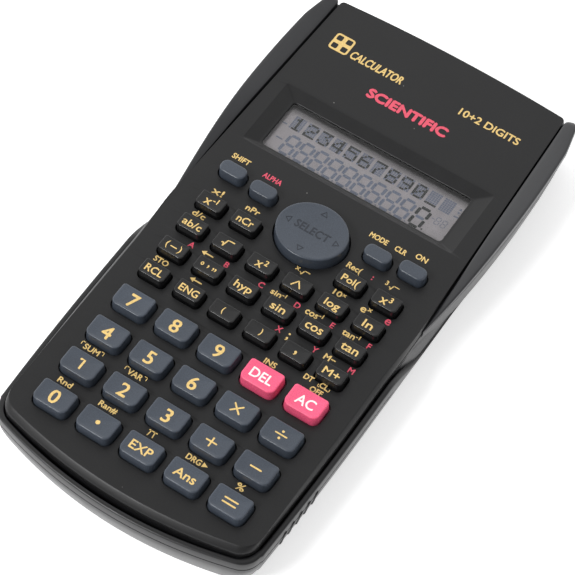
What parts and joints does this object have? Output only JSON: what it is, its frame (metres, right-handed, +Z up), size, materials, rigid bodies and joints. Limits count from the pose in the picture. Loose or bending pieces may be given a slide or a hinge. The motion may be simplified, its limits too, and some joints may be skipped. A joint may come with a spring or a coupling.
{
  "type": "pocket scientific calculator",
  "caption": "Pocket scientific calculator with raised press keys, a rocking direction pad, a sloped display frame and side wings, its slide-on hard cover fitted on the back.",
  "frame": {"origin": "centre of the footprint at the height of the surface the cover rests on", "axes": "+X across the keyboard to the right, +Y along the body toward the display end, +Z up out of the keys"},
  "size_m": [0.0798, 0.1566, 0.0198],
  "materials": {
    "charcoal_plastic": "fine matt moulded texture",
    "back_plastic": "fine matt moulded texture",
    "slate_plastic": "satin",
    "black_plastic": "satin",
    "pink_plastic": "satin",
    "window": "clear",
    "lcd_glass": "polariser film",
    "flex_film": "clear amber film",
    "board": "solder mask",
    "silicone": "translucent grey",
    "cell_wrap": "printed wrap",
    "plated_steel": "nickel plated"
  },
  "bodies": {
    "case": {"front_case": "charcoal_plastic", "rear_case": "back_plastic", "window_lens": "window", "lcd_panel": "lcd_glass", "lcd_ribbon": "flex_film", "circuit_board": "board", "dome_mat": "silicone", "battery_door": "back_plastic", "battery_cell": "cell_wrap", "battery_contacts": "plated_steel", "case_screws": "plated_steel"},
    "cover": {"slide_cover": "charcoal_plastic"},
    "pad_pivot": {"pad_pivot": "plated_steel"},
    "direction_pad": {"key_direction_pad": "slate_plastic"},
    "key_shift": {"key_shift": "slate_plastic"},
    "key_alpha": {"key_alpha": "slate_plastic"},
    "key_mode": {"key_mode": "slate_plastic"},
    "key_on": {"key_on": "slate_plastic"},
    "key_inverse": {"key_inverse": "black_plastic"},
    "key_combination": {"key_combination": "black_plastic"},
    "key_polar": {"key_polar": "black_plastic"},
    "key_cube": {"key_cube": "black_plastic"},
    "key_fraction": {"key_fraction": "black_plastic"},
    "key_root": {"key_root": "black_plastic"},
    "key_square": {"key_square": "black_plastic"},
    "key_power": {"key_power": "black_plastic"},
    "key_log": {"key_log": "black_plastic"},
    "key_ln": {"key_ln": "black_plastic"},
    "key_sign": {"key_sign": "black_plastic"},
    "key_degrees": {"key_degrees": "black_plastic"},
    "key_hyp": {"key_hyp": "black_plastic"},
    "key_sin": {"key_sin": "black_plastic"},
    "key_cos": {"key_cos": "black_plastic"},
    "key_tan": {"key_tan": "black_plastic"},
    "key_recall": {"key_recall": "black_plastic"},
    "key_eng": {"key_eng": "black_plastic"},
    "key_open_bracket": {"key_open_bracket": "black_plastic"},
    "key_close_bracket": {"key_close_bracket": "black_plastic"},
    "key_comma": {"key_comma": "black_plastic"},
    "key_memory_plus": {"key_memory_plus": "black_plastic"},
    "key_7": {"key_7": "slate_plastic"},
    "key_8": {"key_8": "slate_plastic"},
    "key_9": {"key_9": "slate_plastic"},
    "key_delete": {"key_delete": "pink_plastic"},
    "key_all_clear": {"key_all_clear": "pink_plastic"},
    "key_4": {"key_4": "slate_plastic"},
    "key_5": {"key_5": "slate_plastic"},
    "key_6": {"key_6": "slate_plastic"},
    "key_multiply": {"key_multiply": "slate_plastic"},
    "key_divide": {"key_divide": "slate_plastic"},
    "key_1": {"key_1": "slate_plastic"},
    "key_2": {"key_2": "slate_plastic"},
    "key_3": {"key_3": "slate_plastic"},
    "key_plus": {"key_plus": "slate_plastic"},
    "key_minus": {"key_minus": "slate_plastic"},
    "key_0": {"key_0": "slate_plastic"},
    "key_point": {"key_point": "slate_plastic"},
    "key_exponent": {"key_exponent": "slate_plastic"},
    "key_answer": {"key_answer": "slate_plastic"},
    "key_equals": {"key_equals": "slate_plastic"}
  },
  "joints": [
    {"name": "slide_cover", "type": "slide", "parent": "case", "child": "cover", "axis": [0, -1, 0], "range_m": [0, 0.157]},
    {"name": "pad_tilt_front_back", "type": "hinge", "parent": "case", "child": "pad_pivot", "pos_m": [0, 0.0095, 0.0132], "axis": [1, 0, 0], "range_deg": [-2.5, 2.5], "stiffness_Nm_per_rad": 0.12, "deforming": ["dome_mat"]},
    {"name": "pad_tilt_left_right", "type": "hinge", "parent": "pad_pivot", "child": "direction_pad", "pos_m": [0, 0.0095, 0.0132], "axis": [0, 1, 0], "range_deg": [-2.5, 2.5], "stiffness_Nm_per_rad": 0.12, "deforming": ["dome_mat"]},
    {"name": "press_5", "type": "slide", "parent": "case", "child": "key_5", "axis": [0, 0, -1], "range_m": [0, 0.0009], "stiffness_N_per_m": 600, "deforming": ["dome_mat"]},
    {"name": "press_equals", "type": "slide", "parent": "case", "child": "key_equals", "axis": [0, 0, -1], "range_m": [0, 0.0009], "stiffness_N_per_m": 600, "deforming": ["dome_mat"]},
    {"name": "press_sin", "type": "slide", "parent": "case", "child": "key_sin", "axis": [0, 0, -1], "range_m": [0, 0.0009], "stiffness_N_per_m": 600, "deforming": ["dome_mat"]},
    {"name": "press_shift", "type": "slide", "parent": "case", "child": "key_shift", "axis": [0, 0, -1], "range_m": [0, 0.0009], "stiffness_N_per_m": 600, "deforming": ["dome_mat"]},
    {"name": "press_all_clear", "type": "slide", "parent": "case", "child": "key_all_clear", "axis": [0, 0, -1], "range_m": [0, 0.0009], "stiffness_N_per_m": 600, "deforming": ["dome_mat"]},
    {"name": "press_alpha", "type": "slide", "parent": "case", "child": "key_alpha", "axis": [0, 0, -1], "range_m": [0, 0.0009], "stiffness_N_per_m": 600, "deforming": ["dome_mat"]},
    {"name": "press_mode", "type": "slide", "parent": "case", "child": "key_mode", "axis": [0, 0, -1], "range_m": [0, 0.0009], "stiffness_N_per_m": 600, "deforming": ["dome_mat"]},
    {"name": "press_on", "type": "slide", "parent": "case", "child": "key_on", "axis": [0, 0, -1], "range_m": [0, 0.0009], "stiffness_N_per_m": 600, "deforming": ["dome_mat"]},
    {"name": "press_inverse", "type": "slide", "parent": "case", "child": "key_inverse", "axis": [0, 0, -1], "range_m": [0, 0.0009], "stiffness_N_per_m": 600, "deforming": ["dome_mat"]},
    {"name": "press_combination", "type": "slide", "parent": "case", "child": "key_combination", "axis": [0, 0, -1], "range_m": [0, 0.0009], "stiffness_N_per_m": 600, "deforming": ["dome_mat"]},
    {"name": "press_polar", "type": "slide", "parent": "case", "child": "key_polar", "axis": [0, 0, -1], "range_m": [0, 0.0009], "stiffness_N_per_m": 600, "deforming": ["dome_mat"]},
    {"name": "press_cube", "type": "slide", "parent": "case", "child": "key_cube", "axis": [0, 0, -1], "range_m": [0, 0.0009], "stiffness_N_per_m": 600, "deforming": ["dome_mat"]},
    {"name": "press_fraction", "type": "slide", "parent": "case", "child": "key_fraction", "axis": [0, 0, -1], "range_m": [0, 0.0009], "stiffness_N_per_m": 600, "deforming": ["dome_mat"]},
    {"name": "press_root", "type": "slide", "parent": "case", "child": "key_root", "axis": [0, 0, -1], "range_m": [0, 0.0009], "stiffness_N_per_m": 600, "deforming": ["dome_mat"]},
    {"name": "press_square", "type": "slide", "parent": "case", "child": "key_square", "axis": [0, 0, -1], "range_m": [0, 0.0009], "stiffness_N_per_m": 600, "deforming": ["dome_mat"]},
    {"name": "press_power", "type": "slide", "parent": "case", "child": "key_power", "axis": [0, 0, -1], "range_m": [0, 0.0009], "stiffness_N_per_m": 600, "deforming": ["dome_mat"]},
    {"name": "press_log", "type": "slide", "parent": "case", "child": "key_log", "axis": [0, 0, -1], "range_m": [0, 0.0009], "stiffness_N_per_m": 600, "deforming": ["dome_mat"]},
    {"name": "press_ln", "type": "slide", "parent": "case", "child": "key_ln", "axis": [0, 0, -1], "range_m": [0, 0.0009], "stiffness_N_per_m": 600, "deforming": ["dome_mat"]},
    {"name": "press_sign", "type": "slide", "parent": "case", "child": "key_sign", "axis": [0, 0, -1], "range_m": [0, 0.0009], "stiffness_N_per_m": 600, "deforming": ["dome_mat"]},
    {"name": "press_degrees", "type": "slide", "parent": "case", "child": "key_degrees", "axis": [0, 0, -1], "range_m": [0, 0.0009], "stiffness_N_per_m": 600, "deforming": ["dome_mat"]},
    {"name": "press_hyp", "type": "slide", "parent": "case", "child": "key_hyp", "axis": [0, 0, -1], "range_m": [0, 0.0009], "stiffness_N_per_m": 600, "deforming": ["dome_mat"]},
    {"name": "press_cos", "type": "slide", "parent": "case", "child": "key_cos", "axis": [0, 0, -1], "range_m": [0, 0.0009], "stiffness_N_per_m": 600, "deforming": ["dome_mat"]},
    {"name": "press_tan", "type": "slide", "parent": "case", "child": "key_tan", "axis": [0, 0, -1], "range_m": [0, 0.0009], "stiffness_N_per_m": 600, "deforming": ["dome_mat"]},
    {"name": "press_recall", "type": "slide", "parent": "case", "child": "key_recall", "axis": [0, 0, -1], "range_m": [0, 0.0009], "stiffness_N_per_m": 600, "deforming": ["dome_mat"]},
    {"name": "press_eng", "type": "slide", "parent": "case", "child": "key_eng", "axis": [0, 0, -1], "range_m": [0, 0.0009], "stiffness_N_per_m": 600, "deforming": ["dome_mat"]},
    {"name": "press_open_bracket", "type": "slide", "parent": "case", "child": "key_open_bracket", "axis": [0, 0, -1], "range_m": [0, 0.0009], "stiffness_N_per_m": 600, "deforming": ["dome_mat"]},
    {"name": "press_close_bracket", "type": "slide", "parent": "case", "child": "key_close_bracket", "axis": [0, 0, -1], "range_m": [0, 0.0009], "stiffness_N_per_m": 600, "deforming": ["dome_mat"]},
    {"name": "press_comma", "type": "slide", "parent": "case", "child": "key_comma", "axis": [0, 0, -1], "range_m": [0, 0.0009], "stiffness_N_per_m": 600, "deforming": ["dome_mat"]},
    {"name": "press_memory_plus", "type": "slide", "parent": "case", "child": "key_memory_plus", "axis": [0, 0, -1], "range_m": [0, 0.0009], "stiffness_N_per_m": 600, "deforming": ["dome_mat"]},
    {"name": "press_7", "type": "slide", "parent": "case", "child": "key_7", "axis": [0, 0, -1], "range_m": [0, 0.0009], "stiffness_N_per_m": 600, "deforming": ["dome_mat"]},
    {"name": "press_8", "type": "slide", "parent": "case", "child": "key_8", "axis": [0, 0, -1], "range_m": [0, 0.0009], "stiffness_N_per_m": 600, "deforming": ["dome_mat"]},
    {"name": "press_9", "type": "slide", "parent": "case", "child": "key_9", "axis": [0, 0, -1], "range_m": [0, 0.0009], "stiffness_N_per_m": 600, "deforming": ["dome_mat"]},
    {"name": "press_delete", "type": "slide", "parent": "case", "child": "key_delete", "axis": [0, 0, -1], "range_m": [0, 0.0009], "stiffness_N_per_m": 600, "deforming": ["dome_mat"]},
    {"name": "press_4", "type": "slide", "parent": "case", "child": "key_4", "axis": [0, 0, -1], "range_m": [0, 0.0009], "stiffness_N_per_m": 600, "deforming": ["dome_mat"]},
    {"name": "press_6", "type": "slide", "parent": "case", "child": "key_6", "axis": [0, 0, -1], "range_m": [0, 0.0009], "stiffness_N_per_m": 600, "deforming": ["dome_mat"]},
    {"name": "press_multiply", "type": "slide", "parent": "case", "child": "key_multiply", "axis": [0, 0, -1], "range_m": [0, 0.0009], "stiffness_N_per_m": 600, "deforming": ["dome_mat"]},
    {"name": "press_divide", "type": "slide", "parent": "case", "child": "key_divide", "axis": [0, 0, -1], "range_m": [0, 0.0009], "stiffness_N_per_m": 600, "deforming": ["dome_mat"]},
    {"name": "press_1", "type": "slide", "parent": "case", "child": "key_1", "axis": [0, 0, -1], "range_m": [0, 0.0009], "stiffness_N_per_m": 600, "deforming": ["dome_mat"]},
    {"name": "press_2", "type": "slide", "parent": "case", "child": "key_2", "axis": [0, 0, -1], "range_m": [0, 0.0009], "stiffness_N_per_m": 600, "deforming": ["dome_mat"]},
    {"name": "press_3", "type": "slide", "parent": "case", "child": "key_3", "axis": [0, 0, -1], "range_m": [0, 0.0009], "stiffness_N_per_m": 600, "deforming": ["dome_mat"]},
    {"name": "press_plus", "type": "slide", "parent": "case", "child": "key_plus", "axis": [0, 0, -1], "range_m": [0, 0.0009], "stiffness_N_per_m": 600, "deforming": ["dome_mat"]},
    {"name": "press_minus", "type": "slide", "parent": "case", "child": "key_minus", "axis": [0, 0, -1], "range_m": [0, 0.0009], "stiffness_N_per_m": 600, "deforming": ["dome_mat"]},
    {"name": "press_0", "type": "slide", "parent": "case", "child": "key_0", "axis": [0, 0, -1], "range_m": [0, 0.0009], "stiffness_N_per_m": 600, "deforming": ["dome_mat"]},
    {"name": "press_point", "type": "slide", "parent": "case", "child": "key_point", "axis": [0, 0, -1], "range_m": [0, 0.0009], "stiffness_N_per_m": 600, "deforming": ["dome_mat"]},
    {"name": "press_exponent", "type": "slide", "parent": "case", "child": "key_exponent", "axis": [0, 0, -1], "range_m": [0, 0.0009], "stiffness_N_per_m": 600, "deforming": ["dome_mat"]},
    {"name": "press_answer", "type": "slide", "parent": "case", "child": "key_answer", "axis": [0, 0, -1], "range_m": [0, 0.0009], "stiffness_N_per_m": 600, "deforming": ["dome_mat"]}
  ]
}
